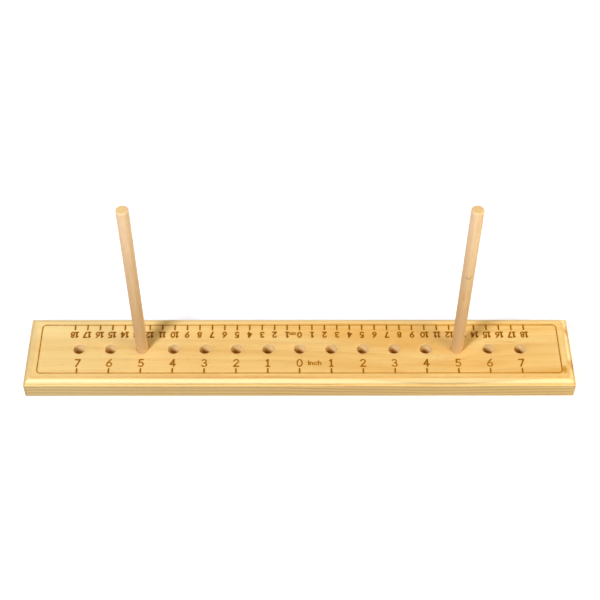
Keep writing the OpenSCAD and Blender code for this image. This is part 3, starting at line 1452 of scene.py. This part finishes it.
@dataclass
class DowelPeg:
    """Loose dowel with bevelled ends."""

    name: str
    x: float
    foot_z: float
    top_z: float
    radius: float
    finish: DowelFinish
    bevel: float = 0.8
    soften: float = 0.3
    sides: int = 64
    wall_step: float = 5.0
    out_of_round: float = 0.02

    def profile(self) -> list[Point]:
        """Half section from the foot to the top.

        Returns:
            Radius and height of each point.
        """
        r, flat = self.radius, self.radius - self.bevel
        foot = [(flat * 0.5, 0.0), (flat - 0.5, 0.0)]
        foot += round_corner((0, 0), (flat, 0), (r, self.bevel), self.soften)
        foot += round_corner((flat, 0), (r, self.bevel), (r, self.wall_step), self.soften)
        lower = [(reach, self.foot_z + z) for reach, z in foot]
        upper = [(reach, self.top_z - z) for reach, z in reversed(foot)]
        low, high = lower[-1][1], upper[0][1]
        count = round((high - low) / self.wall_step)
        return lower + [(r, low + (high - low) * i / count) for i in range(1, count)] + upper

    def build(self) -> bpy.types.Object:
        """Build and dress the peg.

        Returns:
            The piece.
        """
        draft = MeshDraft()
        rings = []
        for reach, z in self.profile():
            places = []
            for i in range(self.sides):
                turn = 2 * math.pi * i / self.sides
                lean = self.out_of_round * (1 + math.sin(2 * turn + z / 40)) / 2
                own = reach - lean * reach / self.radius
                places.append((self.x + own * math.cos(turn), own * math.sin(turn), z))
            rings.append(draft.add_ring(places))
        for one, other in zip(rings, rings[1:]):
            draft.join(one, other)
        draft.cap(rings[0], (self.x, 0.0, self.foot_z))
        draft.cap(rings[-1], (self.x, 0.0, self.top_z))
        return draft.build(self.name, [self.finish.build()], crease_deg=40)


# Studio


@dataclass
class StudioLamp:
    """Soft rectangular lamp that faces the board."""

    name: str
    place: Place
    width: float
    depth: float
    level: float
    aim: Place = (0.0, 0.0, 20.0)
    spread_deg: float = 180.0
    colour: Colour = (1.0, 1.0, 1.0)

    def build(self) -> None:
        """Hang the lamp, as bright as its share of the light on the board's top asks."""
        away = Vector(self.place) - Vector(self.aim)
        reach = away.length * MM
        data = bpy.data.lights.new(self.name, "AREA")
        data.shape = "RECTANGLE"
        data.size, data.size_y = self.width * MM, self.depth * MM
        data.energy = self.level * math.pi ** 2 * reach ** 3 / (away.z * MM)
        data.spread = math.radians(self.spread_deg)
        data.color = self.colour
        lamp = bpy.data.objects.new(self.name, data)
        lamp.location = Vector(self.place) * MM
        lamp.rotation_euler = away.to_track_quat("Z", "Y").to_euler()
        bpy.context.scene.collection.objects.link(lamp)


@dataclass
class PhotoCamera:
    """Camera at the angle of the photograph."""

    focal_px: float = 1361.0
    image_px: float = 600.0
    sensor: float = 36.0
    pitch_deg: float = 51.10
    yaw_deg: float = 0.32
    roll_deg: float = 0.22
    distance: float = 1130.4
    aim: Place = (0.47, 50.47, 19.05)
    clip_m: Span = (0.01, 50.0)

    def build(self) -> None:
        """Set the camera up."""
        pitch, yaw = math.radians(self.pitch_deg), math.radians(self.yaw_deg)
        ahead = Vector((math.sin(yaw) * math.cos(pitch), math.cos(yaw) * math.cos(pitch), -math.sin(pitch)))
        data = bpy.data.cameras.new("photo_camera")
        data.sensor_width = self.sensor
        data.lens = self.sensor * self.focal_px / self.image_px
        data.clip_start, data.clip_end = self.clip_m
        camera = bpy.data.objects.new("photo_camera", data)
        facing = ahead.to_track_quat("-Z", "Y").to_matrix().to_4x4()
        camera.matrix_world = facing @ Matrix.Rotation(math.radians(self.roll_deg), 4, "Z")
        camera.location = (Vector(self.aim) - ahead * self.distance) * MM
        bpy.context.scene.collection.objects.link(camera)
        bpy.context.scene.camera = camera


@dataclass
class Studio:
    """Plain pale floor, white surroundings and soft lamps."""

    floor_reach: float = 6000.0
    floor_drop: float = 0.02
    surroundings: Colour = (0.165, 0.108, 0.018)
    backdrop: Colour = (1.0, 1.0, 1.0)
    lamps: tuple[StudioLamp, ...] = (
        StudioLamp("left_lamp", (-650, -780, 1045), 300, 300, level=0.535),
        StudioLamp(
            "right_lamp", (560, -450, 640), 220, 220, level=0.026, aim=(140.0, 0.0, 20.0), spread_deg=70.0,
            colour=(1.0, 0.84, 0.36)),
        StudioLamp(
            "side_lamp", (1000, -500, 360), 400, 400, level=0.09, aim=(0.0, 0.0, 90.0),
            colour=(1.0, 0.97, 0.88)),
        StudioLamp("back_lamp", (1000, 1000, 240), 900, 300, level=0.055, aim=(0.0, 0.0, 60.0)),
    )

    def build(self) -> None:
        """Set up the floor, the surroundings and the lamps."""
        draft = MeshDraft()
        half = self.floor_reach / 2
        corners = ((-half, -half, 0), (half, -half, 0), (half, half, 0), (-half, half, 0))
        draft.faces.append(tuple(draft.add_ring(corners)))
        draft.slots.append(0)
        floor = draft.build("floor", [FloorFinish().build()], crease_deg=30)
        floor.location.z = -self.floor_drop * MM
        world = bpy.data.worlds.new("white_surroundings")
        bpy.context.scene.world = world
        tree = Tree(world)
        colour = tree.mix(self.surroundings, self.backdrop, tree.looked_at())
        back = tree.node("ShaderNodeBackground", "Background", None, {"Color": colour, "Strength": 1.0})
        tree.node("ShaderNodeOutputWorld", "", None, {"Surface": back})
        for lamp in self.lamps:
            lamp.build()


@dataclass(frozen=True)
class Placement:
    """How a piece stands in the frame."""

    body: str
    node: str
    slot: str

    def apply(self, piece: bpy.types.Object) -> None:
        """Let a piece stand for its node, ride on its body and report itself.

        Args:
            piece: The piece.
        """
        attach(piece, self.body)
        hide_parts(self.node)
        log.info("%s: %d faces, rides on %s", piece.name, len(piece.data.polygons), self.body)


def in_mm(node: str) -> tuple[Vector, Vector]:
    """Return the lowest and highest corner of a CAD node, in millimetres."""
    low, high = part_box(node)
    return low / MM, high / MM


def make_board() -> MouldedBoard:
    """Size the board by the frame.

    Returns:
        The board.
    """
    low, high = in_mm("board")
    bore = next(m for m in frame["record"]["mounts"] if m["name"] == "hole_centre")
    middle, half = bore["pos_m"][2] / MM, bore["dims"]["length_mm"] / 2
    peg_low, peg_high = in_mm("right_peg")
    holes_to_peg = 5
    return MouldedBoard(
        length=high.x - low.x,
        width=high.y - low.y,
        thickness=high.z,
        hole_r=bore["dims"]["r_mm"],
        hole_floor=middle - half,
        mouth_bevel=high.z - middle - half,
        hole_pitch=(peg_low.x + peg_high.x) / 2 / holes_to_peg,
    )


def make_peg(
    name: str, node: str, shift: float, knot_z: float, streak_z: float, mark_side: float,
) -> DowelPeg:
    """Size a peg by the frame.

    Args:
        name: Name of the piece.
        node: The CAD node it stands for.
        shift: Moves the wood's figure, so that the two pegs differ.
        knot_z: Height of the pin knot.
        streak_z: Height of the amber streak.
        mark_side: X of both from the peg's axis.

    Returns:
        The peg.
    """
    low, high = in_mm(node)
    middle = (low.x + high.x) / 2
    finish = DowelFinish(f"{name}_wood", middle, shift, knot_z, streak_z, mark_side)
    return DowelPeg(name, middle, low.z, high.z, (high.x - low.x) / 2, finish)


def main() -> None:
    """Build the peg board and its studio."""
    logging.basicConfig(level=logging.INFO, format="%(name)s: %(message)s")
    bpy.context.scene.view_settings.view_transform = "Standard"
    PhotoCamera().build()
    Studio().build()
    Placement("board", "board", "board").apply(make_board().build())
    left = make_peg("left_dowel_peg", "left_peg", shift=0.0, knot_z=-50.0, streak_z=-50.0, mark_side=0.0)
    Placement("left_peg", "left_peg", "peg").apply(left.build())
    right = make_peg("right_dowel_peg", "right_peg", shift=3.7, knot_z=115.0, streak_z=92.0, mark_side=-0.2)
    Placement("right_peg", "right_peg", "peg").apply(right.build())


if __name__ == "__main__":
    main()
